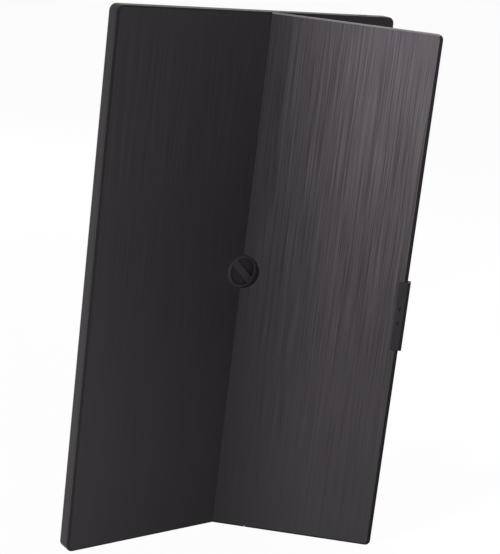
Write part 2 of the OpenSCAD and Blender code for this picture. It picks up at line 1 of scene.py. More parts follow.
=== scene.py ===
"""A slim portable monitor that stands upright on its short edge.

The flap of its brushed cover is folded out as a foot. Millimetres are used for shapes until they become
meshes, and metres for finishes, lamps and the camera.
"""

import math

import bmesh
import bpy
from mathutils import Matrix, Vector


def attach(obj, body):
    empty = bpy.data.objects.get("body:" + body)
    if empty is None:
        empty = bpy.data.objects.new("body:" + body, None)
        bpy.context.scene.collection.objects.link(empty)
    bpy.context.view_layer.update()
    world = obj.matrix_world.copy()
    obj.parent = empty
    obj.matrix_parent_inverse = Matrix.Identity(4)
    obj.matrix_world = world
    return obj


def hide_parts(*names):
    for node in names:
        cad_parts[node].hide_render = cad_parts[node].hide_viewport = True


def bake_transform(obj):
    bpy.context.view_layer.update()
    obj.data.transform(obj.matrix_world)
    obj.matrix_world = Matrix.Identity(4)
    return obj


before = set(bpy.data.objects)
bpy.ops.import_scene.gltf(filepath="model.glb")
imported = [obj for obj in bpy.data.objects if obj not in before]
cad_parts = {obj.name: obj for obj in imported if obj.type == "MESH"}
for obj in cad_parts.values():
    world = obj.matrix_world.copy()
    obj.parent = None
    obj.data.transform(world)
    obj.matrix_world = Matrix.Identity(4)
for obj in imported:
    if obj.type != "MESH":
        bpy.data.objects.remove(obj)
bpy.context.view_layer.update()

MM = 0.001

# The monitor, in millimetres: X across it, +Y out of the screen, +Z up from the edge it stands on
HALF_W = 118.0
HEIGHT = 382.0
BACK = -4.25
FRONT = 4.25
SPLIT = 2.05            # where the bezel meets the shell
FACE = 3.35             # back of the bezel's face
CORNER = 5.0
WALL = 1.4
FLOOR = -3.25           # inside of the shell's back wall
SHELL_EASE = 0.6
BEZEL_EASE = 0.5
PARTING = 0.12          # chamfer on both sides of the line between shell and bezel
WINDOW = (-101.5, 18.4, 93.0, 363.6)    # x0, z0, x1, z1
WINDOW_BEVEL = (0.4, 0.35)              # outwards, and down from the bezel's face
UNLIT = 0.5             # dark border of the screen inside the window
BUTTON = (107.0, 24.0)  # x, z
BUTTON_BORE_R = 3.3
LENS = (107.0, 33.0)    # x, z
LENS_R = 0.85
PORT = (90.0, -0.05)    # x, y
PORT_HALF = 2.9         # from the port's middle to the middle of each round end
PORT_R = 1.7
SOCKET_R = 7.6          # hole in the shell for the hub's socket

# The cover
OUTER = -5.75           # outer face of the cover on the monitor's back
SKIN = 0.4
RIM = 2.5
FOLD_X = 5.0            # the crease
FOLD_W = 24.0           # soft strip, from the crease
FOLD_T = 1.1
BEND = (-2.0, 3.0)      # where the bend starts and ends, from the crease
FOLD_STEPS = (0, 0.4, 0.8, 1.2, 1.6, 2.0, 2.5, 3.0, 4.0, 8.0, 16.0, FOLD_W)     # closest in the bend
SEAM = 0.05             # half the gap between the two halves of the skin at the crease
OPEN = math.radians(42)
FLAP_T = 1.3
FLAP_X0 = 29.3
FLAP_X1 = 123.5
FLAP_CORNER = 4.0
LINING_T = 0.3
LINING_INSET = 2.6      # from the flap's edge to its lining
SIDE_BAND = 2.4         # rim seen beside the skin on the long edges
END_BAND = 1.2          # rim seen on the short edges
SKIN_HOLE_R = 12.9
WRAP_HOLE_R = 12.4      # the same hole in the skin that bends
NOTCH_R = 15.0          # hole in the fold's backing

# The hub, on the crease
HUB_Z = 196.0
KNOB_R = 12.0
KNOB_RISE = 0.8         # knob's top above the cover
KNOB_BACK = 0.55        # knob's back below the cover's face
STUD_HOLE_R = 2.55
SCOOP_R = 10.0
SCOOP_DEPTH = 0.7
HALF_BAR = 2.5
SCOOP_TURN = 45         # from +X to a scoop's middle, in degrees
SEAT_RECESS = 0.8
SEAT_BORE_R = 4.05
SEAT_R = 14.5
SEAT_LIP_R = (12.1, 12.8)

# The latch clip, on the closed flap
CLIP_X0 = 118.3
CLIP_X1 = 125.8
CLIP_Z0 = 153.5
CLIP_Z1 = 204.5
CLIP_OVERLAP = 6.0
CLIP_PLATE = 0.5
CLIP_DEPTH = 6.0
GRIP_MARKS = (173.75, 184.25)
MARK_INSET = 3.0        # from the flap's edge to the marks
MARK_R = 0.7
MARK_HALF = 1.0         # half the straight part of a mark
MARK_DEPTH = 0.25

ROUND_EDGE = ((0, 0.25), (0.08, 0.08), (0.25, 0))       # inset and depth round an outer edge of the cover
SKIN_STEP = 0.1         # chamfer beside the skin's edge
SKIN_BED = 0.42         # depth of the step that the skin's edge lies on
ARC_STEPS = 8           # for a quarter turn
EASE_ANGLE = 35         # edges sharper than this are rounded
CRISP_ANGLE = 32        # edges sharper than this stay crisp in the shading
OVERRUN = 1.0           # how far a cutter stands past what it cuts


# ---- shader helpers ----

class Wire:
    """An output of a shader node that can be used in arithmetic; each step adds a Math node."""

    def __init__(self, finish, socket):
        self.finish = finish
        self.socket = socket

    def maths(self, operation, a, b=None):
        """Adds one Math node for one or two values or wires."""
        values = {0: a} if b is None else {0: a, 1: b}
        return self.finish.add("ShaderNodeMath", {"operation": operation}, values)

    def __add__(self, other):
        return self.maths("ADD", self, other)

    def __sub__(self, other):
        return self.maths("SUBTRACT", self, other)

    def __mul__(self, other):
        return self.maths("MULTIPLY", self, other)

    def __gt__(self, other):
        return self.maths("GREATER_THAN", self, other)

    def __lt__(self, other):
        return self.maths("LESS_THAN", self, other)

    def __abs__(self):
        return self.maths("ABSOLUTE", self)


class Finish:
    """A material built on one Principled shader."""

    def __init__(self, name, colour=(0.5, 0.5, 0.5), roughness=0.5, **sockets):
        self.material = bpy.data.materials.new(name)
        self.material.use_nodes = True
        self.tree = self.material.node_tree
        self.tree.nodes.clear()
        end = self.tree.nodes.new("ShaderNodeOutputMaterial")
        self.shader = self.tree.nodes.new("ShaderNodeBsdfPrincipled")
        self.tree.links.new(self.shader.outputs[0], end.inputs["Surface"])
        self.set("Base Color", (*colour, 1))
        self.set("Roughness", roughness)
        for name, value in sockets.items():
            self.set(name.replace("_", " "), value)

    def set(self, socket, value):
        """Gives one of the shader's own sockets a number, a colour or a wire."""
        if isinstance(value, Wire):
            self.tree.links.new(value.socket, self.shader.inputs[socket])
        else:
            self.shader.inputs[socket].default_value = value

    def add(self, kind, settings=None, values=None, output=0):
        """Adds a node: its settings first, then the values or wires of its sockets."""
        node = self.tree.nodes.new(kind)
        for name, value in (settings or {}).items():
            setattr(node, name, value)
        for key, value in (values or {}).items():
            if isinstance(value, Wire):
                self.tree.links.new(value.socket, node.inputs[key])
            else:
                node.inputs[key].default_value = value
        return Wire(self, node.outputs[output])

    def place(self):
        """The piece's own coordinates, in metres."""
        return self.add("ShaderNodeTexCoord", output="Object")

    def along_cover(self):
        """Distance across the unfolded cover and height on it, in metres."""
        return self.add("ShaderNodeUVMap", {"uv_map": "cover"})

    def stretched(self, where, scale):
        """A place with each of its axes scaled by its own factor."""
        return self.add("ShaderNodeVectorMath", {"operation": "MULTIPLY"}, {0: where, 1: scale})

    def noise(self, where, scale=1.0, detail=3.0, roughness=0.5):
        """Cloudy value about 0.5; a higher scale makes smaller clouds."""
        return self.add("ShaderNodeTexNoise", None,
                        {"Vector": where, "Scale": scale, "Detail": detail, "Roughness": roughness})

    def spread(self, wire, low, high, to_low=0.0, to_high=1.0):
        """Stretches the part of a value between low and high to a new range, and holds it there."""
        return self.add("ShaderNodeMapRange", {"clamp": True},
                        {"Value": wire, "From Min": low, "From Max": high,
                         "To Min": to_low, "To Max": to_high})

    def mix(self, share, one, other):
        """Mixes two colours by a share."""
        node = self.tree.nodes.new("ShaderNodeMix")
        node.data_type = "RGBA"
        for key, value in ((0, share), (6, one), (7, other)):
            if isinstance(value, Wire):
                self.tree.links.new(value.socket, node.inputs[key])
            else:
                node.inputs[key].default_value = (*value, 1) if isinstance(value, tuple) else value
        return Wire(self, node.outputs[2])

    def part(self, where, axis):
        """One coordinate of a place."""
        return self.add("ShaderNodeSeparateXYZ", None, {0: where}, output=axis)

    def relief(self, height, depth, strength):
        """Raises the surface by height, which runs from 0 to 1, times depth in metres."""
        self.set("Normal", self.add("ShaderNodeBump", None,
                                    {"Strength": strength, "Distance": depth, "Height": height}))


# ---- finishes ----

def brushed_skin():
    """Dark laminate with upright hairlines; painted sheen makes them plainest high on the flap, and painted
    light and shade lie over its colour; distances in metres.
    """
    f = Finish("brushed skin", roughness=0.42, Specular_IOR_Level=0.06)
    where = f.along_cover()
    past = f.part(where, 0) - FOLD_X * MM       # past the crease, so above 0 on the flap
    height = f.part(where, 1)
    fine = f.noise(f.stretched(where, (1900, 16, 0)), detail=2)
    broad = f.noise(f.stretched(where, (640, 8, 0)), detail=3)
    drift = f.noise(f.stretched(where, (9, 6, 0)), detail=2)
    line = f.spread(fine * 0.6 + broad * 0.4, 0.36, 0.64)
    # painted sheen: the lines' contrast fades downwards and is faint on the half that lies on the monitor,
    # standing in for light that catches the hairlines high on the flap
    strength = f.spread(height, 0.02, 0.26, 0.16, 1.0) * f.spread(past, -0.001, 0.019, 0.34, 1.0)
    lines = (line - 0.5) * strength + 0.5
    tone = f.mix(lines, (0.030, 0.026, 0.030), (0.104, 0.094, 0.104))
    tone = f.mix(f.spread(drift, 0.35, 0.7, 0.0, 0.2), tone, (0.060, 0.055, 0.060))
    # painted light: paler towards the flap's top, where the light from above falls
    painted_top_light = (past > 0.015) * f.spread(height, 0.20, 0.33, 0.0, 0.23)
    tone = f.mix(painted_top_light, tone, f.mix(lines, (0.086, 0.079, 0.086), (0.186, 0.170, 0.186)))
    # painted shade: darker beside the crease on both sides, and at mid height on the monitor's half, where
    # less light falls
    painted_mid_shade = f.spread(abs(height - 0.20), 0.02, 0.15, 0.18, 0.0)
    painted_shade = ((past > 0.0) * f.spread(past, 0.0, 0.070, 0.60, 0.0)
            + (past < 0.0) * (f.spread(past, -0.115, 0.0, 0.0, 0.38) + painted_mid_shade))
    f.set("Base Color", f.mix(painted_shade, tone, (0.008, 0.007, 0.008)))
    f.set("Roughness", line * 0.10 + 0.38)
    f.relief(line, 0.00002, 0.2)
    return f.material


def turned_edge(name, low, high):
    """Satin edge of the cover."""
    f = Finish(name, roughness=0.4, Specular_IOR_Level=0.1)
    grain = f.noise(f.place(), 900, 3)
    f.set("Base Color", f.mix(grain, low, high))
    f.set("Roughness", grain * 0.2 + 0.32)
    f.relief(grain, 0.00004, 0.3)
    return f.material


def coated_shell():
    """Grey plastic with a fine metallic coat."""
    f = Finish("coated shell", roughness=0.4, Metallic=0.12, Specular_IOR_Level=0.12)
    fleck = f.noise(f.place(), 4200, 2)
    cloud = f.noise(f.place(), 26, 3)
    tone = f.mix(f.spread(fleck, 0.35, 0.65), (0.0255, 0.0215, 0.0247), (0.0375, 0.031, 0.0360))
    f.set("Base Color", f.mix(f.spread(cloud, 0.4, 0.7, 0.0, 0.3), tone, (0.0275, 0.0232, 0.0266)))
    f.set("Roughness", fleck * 0.14 + 0.36)
    f.relief(fleck, 0.00002, 0.25)
    return f.material


def fine_plastic(name, low, high, grain_scale=2600, roughness=0.45, depth=0.00003, **sockets):
    """Moulded plastic with a fine spark-eroded grain."""
    f = Finish(name, roughness=roughness, **sockets)
    grain = f.noise(f.place(), grain_scale, 3)
    cloud = f.noise(f.place(), 40, 2)
    f.set("Base Color", f.mix(f.spread(grain * 0.7 + cloud * 0.3, 0.35, 0.65), low, high))
    f.set("Roughness", grain * 0.16 + (roughness - 0.08))
    f.relief(grain, depth, 0.3)
    return f.material


def screen_glass():
    """Switched-off panel behind a half-matt film; its lit area is a shade bluer than the border."""
    f = Finish("screen glass", roughness=0.22, Specular_IOR_Level=0.14,
               Coat_Weight=0.06, Coat_Roughness=0.12)
    where = f.place()
    x0, z0, x1, z1 = WINDOW
    across = abs(f.part(where, 0) - (x0 + x1) / 2 * MM) < ((x1 - x0) / 2 - UNLIT) * MM
    up = abs(f.part(where, 2) - (z0 + z1) / 2 * MM) < ((z1 - z0) / 2 - UNLIT) * MM
    sparkle = f.noise(where, 7000, 1)
    lit = f.mix(f.spread(sparkle, 0.3, 0.7), (0.0050, 0.0055, 0.0075), (0.0085, 0.0090, 0.0115))
    f.set("Base Color", f.mix(across * up, (0.0030, 0.0030, 0.0034), lit))
    f.set("Roughness", sparkle * 0.10 + 0.17)
    return f.material


def microfibre():
    """Short napped lining."""
    f = Finish("microfibre", roughness=0.95, Specular_IOR_Level=0.1, Sheen_Weight=0.35, Sheen_Roughness=0.5)
    nap = f.noise(f.place(), 3200, 4, 0.65)
    brushed = f.noise(f.stretched(f.place(), (60, 60, 22)), detail=4)
    tone = f.mix(f.spread(nap, 0.3, 0.7), (0.016, 0.016, 0.018), (0.042, 0.041, 0.044))
    f.set("Base Color", f.mix(f.spread(brushed, 0.4, 0.65, 0.0, 0.45), tone, (0.032, 0.031, 0.034)))
    f.relief(nap, 0.0002, 0.6)
    return f.material


def sheet_metal(name, low, high, roughness=0.32):
    """Rolled metal with faint lines."""
    f = Finish(name, roughness=roughness, Metallic=1.0)
    lines = f.noise(f.stretched(f.place(), (300, 300, 6000)), detail=3)
    f.set("Base Color", f.mix(lines, low, high))
    f.set("Roughness", lines * 0.2 + (roughness - 0.1))
    f.relief(lines, 0.00002, 0.3)
    return f.material


def circuit_board():
    """Green solder mask over copper tracks."""
    f = Finish("circuit board", roughness=0.4, Specular_IOR_Level=0.5)
    where = f.place()
    tracks = f.add("ShaderNodeTexBrick", {"offset": 0.5},
                   {"Vector": where, "Scale": 260.0, "Mortar Size": 0.03}, output="Fac")
    weave = f.noise(where, 1500, 2)
    ground = f.mix(weave, (0.012, 0.070, 0.030), (0.018, 0.095, 0.042))
    f.set("Base Color", f.mix(tracks, ground, (0.030, 0.150, 0.065)))
    f.relief(tracks, 0.00004, 0.6)
    return f.material


def flat_cable():
    """Amber film over fine copper lines."""
    f = Finish("flat cable", roughness=0.35, Specular_IOR_Level=0.5)
    lines = f.add("ShaderNodeTexWave", {"bands_direction": "Z"}, {"Vector": f.place(), "Scale": 320.0})
    stain = f.noise(f.place(), 300, 2)
    f.set("Base Color", f.mix(lines, (0.35, 0.15, 0.03), (0.50, 0.26, 0.08)))
    f.set("Roughness", stain * 0.2 + 0.28)
    return f.material


def milky_film():
    """White diffusing sheet."""
    f = Finish("milky film", roughness=0.6)
    haze = f.noise(f.place(), 500, 3)
    f.set("Base Color", f.mix(haze, (0.78, 0.79, 0.80), (0.86, 0.87, 0.88)))
    f.set("Roughness", haze * 0.2 + 0.5)
    return f.material


SKIN_FINISH = brushed_skin()
BACK_EDGE_FINISH = turned_edge("back edge", (0.022, 0.020, 0.022), (0.040, 0.037, 0.040))
EDGE_FINISH = turned_edge("turned edge", (0.006, 0.006, 0.006), (0.016, 0.015, 0.016))
# painted highlight: pale colours for the light from above that catches the cover's upper edge
TOP_HIGHLIGHT_FINISH = turned_edge("rubbed top edge", (0.115, 0.106, 0.115), (0.195, 0.180, 0.195))
SHELL_FINISH = coated_shell()
BEZEL_FINISH = fine_plastic("satin bezel", (0.0065, 0.0065, 0.0072), (0.0120, 0.0118, 0.0126),
                            roughness=0.42, Specular_IOR_Level=0.3)
SCREEN_FINISH = screen_glass()
LINING_FINISH = microfibre()
CLIP_FINISH = fine_plastic("clip plastic", (0.022, 0.020, 0.022), (0.036, 0.033, 0.036),
                           roughness=0.42, Specular_IOR_Level=0.1)
HUB_FINISH = fine_plastic("hub satin", (0.034, 0.029, 0.034), (0.056, 0.048, 0.056), 3400,
                          roughness=0.38, Specular_IOR_Level=0.1)
# painted shade: darker colours for the shade that falls in the knob's scoops
SCOOP_SHADE_FINISH = fine_plastic("hub scoops", (0.019, 0.016, 0.019), (0.033, 0.028, 0.033), 3400,
                            roughness=0.45, Specular_IOR_Level=0.1)
BUTTON_FINISH = fine_plastic("button plastic", (0.012, 0.012, 0.013), (0.022, 0.022, 0.024), roughness=0.5)
LENS_FINISH = fine_plastic("frosted lens", (0.45, 0.48, 0.50), (0.55, 0.58, 0.60), 1800, roughness=0.3)
IVORY_FINISH = fine_plastic("ivory plastic", (0.60, 0.57, 0.48), (0.70, 0.67, 0.58), 1200, roughness=0.55)
NYLON_FINISH = fine_plastic("white nylon", (0.62, 0.62, 0.60), (0.72, 0.72, 0.70), 1500, roughness=0.5)
STEEL_FINISH = sheet_metal("plated steel", (0.44, 0.44, 0.45), (0.60, 0.60, 0.61))
TRAY_FINISH = sheet_metal("bright sheet steel", (0.58, 0.58, 0.58), (0.72, 0.72, 0.72), 0.28)
NICKEL_FINISH = sheet_metal("nickel plate", (0.60, 0.58, 0.54), (0.72, 0.70, 0.66), 0.22)
BOARD_FINISH = circuit_board()
CABLE_FINISH = flat_cable()
FILM_FINISH = milky_film()
ALUMINIUM_FINISH = sheet_metal("rolled aluminium", (0.50, 0.50, 0.51), (0.60, 0.60, 0.61), 0.38)

NODE_FINISHES = {
    "lcd_cell": SCREEN_FINISH, "optical_films": FILM_FINISH, "light_guide": FILM_FINISH,
    "reflector_sheet": FILM_FINISH, "panel_tray": TRAY_FINISH, "led_strip": IVORY_FINISH,
    "timing_board": BOARD_FINISH, "source_flexes": CABLE_FINISH, "panel_screws": STEEL_FINISH,
    "main_board": BOARD_FINISH, "shield_can": TRAY_FINISH, "usb_port": STEEL_FINISH,
    "display_connector": IVORY_FINISH, "display_ribbon": CABLE_FINISH, "board_screws": STEEL_FINISH,
    "button_board": BOARD_FINISH, "button_switch": STEEL_FINISH, "button_flex": CABLE_FINISH,
    "status_lens": LENS_FINISH, "hub_socket": STEEL_FINISH, "keeper_plates": STEEL_FINISH,
    "latch_plate": STEEL_FINISH, "fixed_board": ALUMINIUM_FINISH, "fixed_lining": LINING_FINISH,
    "cover_magnets": NICKEL_FINISH, "flap_board": STEEL_FINISH,
    "latch_magnets": NICKEL_FINISH, "hub_stud": STEEL_FINISH, "hub_washer": NYLON_FINISH,
}
for name, finish in NODE_FINISHES.items():
    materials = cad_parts[name].data.materials
    materials.clear()
    materials.append(finish)


# ---- mesh helpers, in millimetres ----

def opened(x, y):
    """Where a point drawn on the closed flap lies when the flap stands open."""
    dx = x - FOLD_X
    dy = y - OUTER
    return (FOLD_X + dx * math.cos(OPEN) + dy * math.sin(OPEN),
            OUTER - dx * math.sin(OPEN) + dy * math.cos(OPEN))


def bent(x, y):
    """Where a point drawn on the flat cover lies when the flap stands open."""
    return opened(x, y) if x > FOLD_X else (x, y)


def arc(x, z, r, start, end, steps):
    """Points round part of a circle, between two angles in degrees."""
    turns = [math.radians(start + (end - start) * i / steps) for i in range(steps + 1)]
    return [(x + r * math.cos(t), z + r * math.sin(t)) for t in turns]


def quarter():
    """Angles of a quarter turn."""
    return [math.radians(90 * i / ARC_STEPS) for i in range(ARC_STEPS + 1)]


def round_rect(x0, z0, x1, z1, r, y):
    """Ring of points round a rectangle with round corners, at one Y."""
    middles = ((x1 - r, z0 + r, -90), (x1 - r, z1 - r, 0), (x0 + r, z1 - r, 90), (x0 + r, z0 + r, 180))
    return [(x, y, z) for cx, cz, start in middles
            for x, z in arc(cx, cz, r, start, start + 90, ARC_STEPS)]


def body_ring(inset, y):
    """Ring round the monitor's outline, moved inwards."""
    return round_rect(-HALF_W + inset, inset, HALF_W - inset, HEIGHT - inset, max(CORNER - inset, 0.2), y)


def circle(x, z, r, y, count=72):
    """Ring of points round an axis along Y."""
    return [(x + r * math.cos(math.tau * i / count), y, z + r * math.sin(math.tau * i / count))
            for i in range(count)]


def stack(rings, capped=True, open_rings=False):
    """Mesh through rings of equal length: capped at both ends, or closed on itself.

    Open rings are strips that don't meet their own start, and get a face at each of their two ends.
    """
    count = len(rings[0])
    mesh = bmesh.new()
    rows = [[mesh.verts.new(Vector(p) * MM) for p in ring] for ring in rings]
    pairs = list(zip(rows, rows[1:]))
    if not capped:
        pairs.append((rows[-1], rows[0]))
    for low, high in pairs:
        for i in range(count - 1 if open_rings else count):
            j = (i + 1) % count
            mesh.faces.new((low[i], low[j], high[j], high[i]))
    if open_rings:
        mesh.faces.new([row[0] for row in rows])
        mesh.faces.new([row[-1] for row in rows])
    elif capped:
        mesh.faces.new(rows[0])
        mesh.faces.new(rows[-1])
    return mesh


def as_object(name, mesh):
    """Turns a bmesh into an object with outward faces."""
    bmesh.ops.remove_doubles(mesh, verts=mesh.verts, dist=1e-7)
    bmesh.ops.recalc_face_normals(mesh, faces=mesh.faces)
    data = bpy.data.meshes.new(name)
    mesh.to_mesh(data)
    mesh.free()
    piece = bpy.data.objects.new(name, data)
    bpy.context.scene.collection.objects.link(piece)
    return piece


def settled(piece):
    """Applies a piece's modifiers."""
    bpy.context.view_layer.update()
    data = bpy.data.meshes.new_from_object(piece.evaluated_get(bpy.context.evaluated_depsgraph_get()))
    piece.modifiers.clear()
    piece.data = data
    return piece


def cut_out(piece, *cutters):
    """Takes cutters away from a piece."""
    for cutter in cutters:
        modifier = piece.modifiers.new("cut", "BOOLEAN")
        modifier.operation = "DIFFERENCE"
        modifier.solver = "EXACT"
        modifier.object = cutter
    settled(piece)
    for cutter in cutters:
        bpy.data.objects.remove(cutter)
    return piece


def eased(piece, width, segments=3):
    """Rounds a piece's sharper edges."""
    modifier = piece.modifiers.new("ease", "BEVEL")
    modifier.width = width * MM
    modifier.segments = segments
    modifier.limit_method = "ANGLE"
    modifier.angle_limit = math.radians(EASE_ANGLE)
    return settled(piece)


def dressed(piece, finish, node):
    """Gives a piece its finish and smooth shading, and lets it stand for its CAD node."""
    piece.data.materials.clear()
    piece.data.materials.append(finish)
    for face in piece.data.polygons:
        face.use_smooth = True
        face.material_index = 0
    piece.data.set_sharp_from_angle(angle=math.radians(CRISP_ANGLE))
    weighted = piece.modifiers.new("flat faces", "WEIGHTED_NORMAL")
    weighted.keep_sharp = True
    settled(piece)
    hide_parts(node)
    return piece


def marked(piece, finish, chosen):
    """Gives a second finish to the faces whose middles, in millimetres, are chosen."""
    piece.data.materials.append(finish)
    for face in piece.data.polygons:
        if chosen(*(face.center / MM)):
            face.material_index = 1
    return piece


def at_top(x, y, z):
    """The upper edge of the cover, above the skin's end."""
    return z > HEIGHT - END_BAND + 0.02


def prism(points, z0, z1):
    """Outline in X and Y run from z0 to z1."""
    return stack([[(x, y, z0) for x, y in points], [(x, y, z1) for x, y in points]])


def rod_cutter(x, z, r, y0, y1):
    """Cutter for a round hole along Y."""
    return as_object("cutter", stack([circle(x, z, r, y0), circle(x, z, r, y1)]))


# ---- monitor ----

def case_back():
    """Rear shell: eased at its back edge, hollow, with the port's hole and the hub's."""
    rings = [body_ring(SHELL_EASE * (1 - math.sin(a)), BACK + SHELL_EASE * (1 - math.cos(a)))
             for a in (math.radians(t) for t in range(0, 91, 15))]
    rings += [body_ring(0, SPLIT - PARTING), body_ring(PARTING, SPLIT),
              body_ring(WALL, SPLIT), body_ring(WALL, FLOOR)]
    shell = as_object("case_back", stack(rings))
    x, y = PORT
    hole = arc(x + PORT_HALF, y, PORT_R, -90, 90, 12) + arc(x - PORT_HALF, y, PORT_R, 90, 270, 12)
    cut_out(shell, as_object("port_cutter", prism(hole, HEIGHT - 2 * WALL, HEIGHT + OVERRUN)),
            rod_cutter(FOLD_X, HUB_Z, SOCKET_R, BACK - OVERRUN, FLOOR + OVERRUN))
    return dressed(shell, SHELL_FINISH, "rear_shell")


def screen_bezel():
    """Front bezel: eased outside, with a bevelled window, and holes for the button and the lens."""
    x0, z0, x1, z1 = WINDOW
    wider, lower = WINDOW_BEVEL
    rings = [body_ring(PARTING, SPLIT), body_ring(0, SPLIT + PARTING)]
    rings += [body_ring(BEZEL_EASE * (1 - math.cos(a)), FRONT - BEZEL_EASE * (1 - math.sin(a)))
              for a in (math.radians(t) for t in (0, 22, 45, 67, 90))]
    rings += [round_rect(x0 - wider, z0 - wider, x1 + wider, z1 + wider, 0.8, FRONT),
              round_rect(x0, z0, x1, z1, 0.4, FRONT - lower),
              round_rect(x0, z0, x1, z1, 0.4, FACE),
              body_ring(WALL, FACE), body_ring(WALL, SPLIT)]
    bezel = as_object("screen_bezel", stack(rings, capped=False))
    cut_out(bezel, rod_cutter(*BUTTON, BUTTON_BORE_R, FACE - OVERRUN, FRONT + OVERRUN),
            rod_cutter(*LENS, LENS_R, FACE - OVERRUN, FRONT + OVERRUN))
    return dressed(bezel, BEZEL_FINISH, "front_bezel")


def turned(name, x, z, profile, count=72):
    """Solid of revolution about an axis along Y; the profile lists radius and Y."""
    return as_object(name, stack([circle(x, z, max(r, 0.01), y, count) for r, y in profile]))


def button_cap():
    """Power button: dished cap on a flange and a stem, each as radius and Y."""
    stem = [(1.5, 0.4), (1.5, 2.7)]
    flange = [(4.2, 2.7), (4.2, 3.3)]
    side = [(3.2, 3.3), (3.2, 4.5), (3.13, 4.68), (2.95, 4.75)]
    dish = [(2.2, 4.70), (1.2, 4.62), (0.05, 4.60)]
    cap = turned("button_cap", *BUTTON, stem + flange + side + dish)
    return dressed(cap, BUTTON_FINISH, "power_button")


# ---- cover ----

def leaf_edge(x_open, x_side, corner, side_inset, end_inset):
    """Way round the three free sides of a cover leaf, from the foot of its open side to the top."""
    way = 1 if x_side > x_open else -1
    cx = x_side - way * corner
    rx = corner - side_inset
    rz = corner - end_inset
    edge = [(x_open, end_inset)]
    edge += [(cx + way * rx * math.sin(t), corner - rz * math.cos(t)) for t in quarter()]
    edge += [(cx + way * rx * math.cos(t), HEIGHT - corner + rz * math.sin(t)) for t in quarter()]
    edge.append((x_open, HEIGHT - end_inset))
    return edge


def leaf_rim(name, finish, x_open, x_side, corner, thickness, node):
    """Rim of a cover leaf: rounded outside, stepped down under the skin's edge.

    Its section lists the inset on the long side, the inset at the ends and the depth below the face.
    """
    section = [(0, 0, thickness)] + [(inset, inset, depth) for inset, depth in ROUND_EDGE]
    section += [(SIDE_BAND - SKIN_STEP, END_BAND - SKIN_STEP, 0), (SIDE_BAND, END_BAND, SKIN_STEP),
                (SIDE_BAND, END_BAND, SKIN_BED), (RIM, RIM, SKIN_BED), (RIM, RIM, thickness)]
    rings = []
    for side_inset, end_inset, depth in section:
        edge = leaf_edge(x_open, x_side, corner, side_inset, end_inset)
        rings.append([(*bent(x, OUTER + depth), z) for x, z in edge])
    rim = as_object(name, stack(rings, capped=False, open_rings=True))
    return dressed(rim, finish, node)


def fixed_leaf_rim():
    """Rim of the half that lies on the monitor."""
    return leaf_rim("back_rim", BACK_EDGE_FINISH, FOLD_X, -HALF_W, CORNER, BACK - OUTER, "fixed_rim")


def flap_leaf_rim():
    """Rim of the flap, with a painted highlight on its upper edge, where the light from above catches it.
    """
    rim = leaf_rim("flap_rim_wrap", EDGE_FINISH, FLAP_X0, FLAP_X1, FLAP_CORNER, FLAP_T, "flap_rim")
    # painted highlight on the upper edge
    return marked(rim, TOP_HIGHLIGHT_FINISH, at_top)


def bend(piece):
    """Folds a piece drawn on the flat cover, after noting each corner's flat place for the grain."""
    mark_cover(piece)
    for vertex in piece.data.vertices:
        x, y = bent(vertex.co.x / MM, vertex.co.y / MM)
        vertex.co.x = x * MM
        vertex.co.y = y * MM
    return piece


def leaf_sheet(columns):
    """Flat skin through columns of (x, lower end, upper end)."""
    mesh = bmesh.new()
    rows = []
    for x, low, high in columns:
        rows.append([mesh.verts.new(Vector((x, y, z)) * MM)
                     for y, z in ((OUTER, low), (OUTER, high), (OUTER + SKIN, high), (OUTER + SKIN, low))])
    for one, two in zip(rows, rows[1:]):
        for i in range(4):
            j = (i + 1) % 4
            mesh.faces.new((one[i], one[j], two[j], two[i]))
    mesh.faces.new(rows[0])
    mesh.faces.new(rows[-1])
    return mesh


def free_end(x_side, corner, way):
    """Columns round the two free corners of a leaf, as (x, lower end, upper end)."""
    rx = corner - SIDE_BAND
    rz = corner - END_BAND
    ends = []
    for t in quarter():
        rise = corner - rz * math.cos(t)
        ends.append((x_side - way * corner + way * rx * math.sin(t), rise, HEIGHT - rise))
    return ends


def mark_cover(piece):
    """Notes for each corner of a face its place on the flat cover."""
    layer = piece.data.uv_layers.new(name="cover")
    for loop in piece.data.loops:
        place = piece.data.vertices[loop.vertex_index].co
        layer.data[loop.index].uv = (place.x, place.z)


def fixed_leaf_skin():
    """Brushed skin on the monitor's back, up to the crease."""
    columns = free_end(-HALF_W, CORNER, -1)[::-1] + [(FOLD_X - SEAM, END_BAND, HEIGHT - END_BAND)]
    skin = as_object("back_skin", leaf_sheet(columns))
    cut_out(skin, rod_cutter(FOLD_X, HUB_Z, SKIN_HOLE_R, OUTER - OVERRUN, BACK + OVERRUN))
    mark_cover(skin)
    return dressed(skin, SKIN_FINISH, "fixed_skin")


def flap_leaf_skin():
    """Brushed skin from the crease, round the fold and over the flap, in one piece."""
    columns = [(FOLD_X + max(past, SEAM), END_BAND, HEIGHT - END_BAND) for past in FOLD_STEPS]
    skin = as_object("flap_skin_wrap", leaf_sheet(columns + free_end(FLAP_X1, FLAP_CORNER, 1)))
    cut_out(skin, rod_cutter(FOLD_X, HUB_Z, WRAP_HOLE_R, OUTER - OVERRUN, BACK + OVERRUN))
    return dressed(bend(skin), SKIN_FINISH, "flap_skin")


def fold_backing():
    """Soft backing of the fold, which comes up round the skin at its two ends."""
    section = [(0, FOLD_T), *ROUND_EDGE, (END_BAND - SKIN_STEP, 0), (END_BAND, SKIN_STEP),
               (END_BAND, SKIN_BED)]
    section += [(HEIGHT - z, depth) for z, depth in section[::-1]]
    rings = [[(FOLD_X + past, OUTER + depth, z) for z, depth in section] for past in FOLD_STEPS]
    backing = as_object("fold_backing", stack(rings))
    cut_out(backing, rod_cutter(FOLD_X, HUB_Z, NOTCH_R, OUTER - OVERRUN, BACK + OVERRUN))
    dressed(bend(backing), EDGE_FINISH, "fold_strip")
    # painted highlight on the upper edge of the fold's backing
    return marked(backing, TOP_HIGHLIGHT_FINISH, at_top)


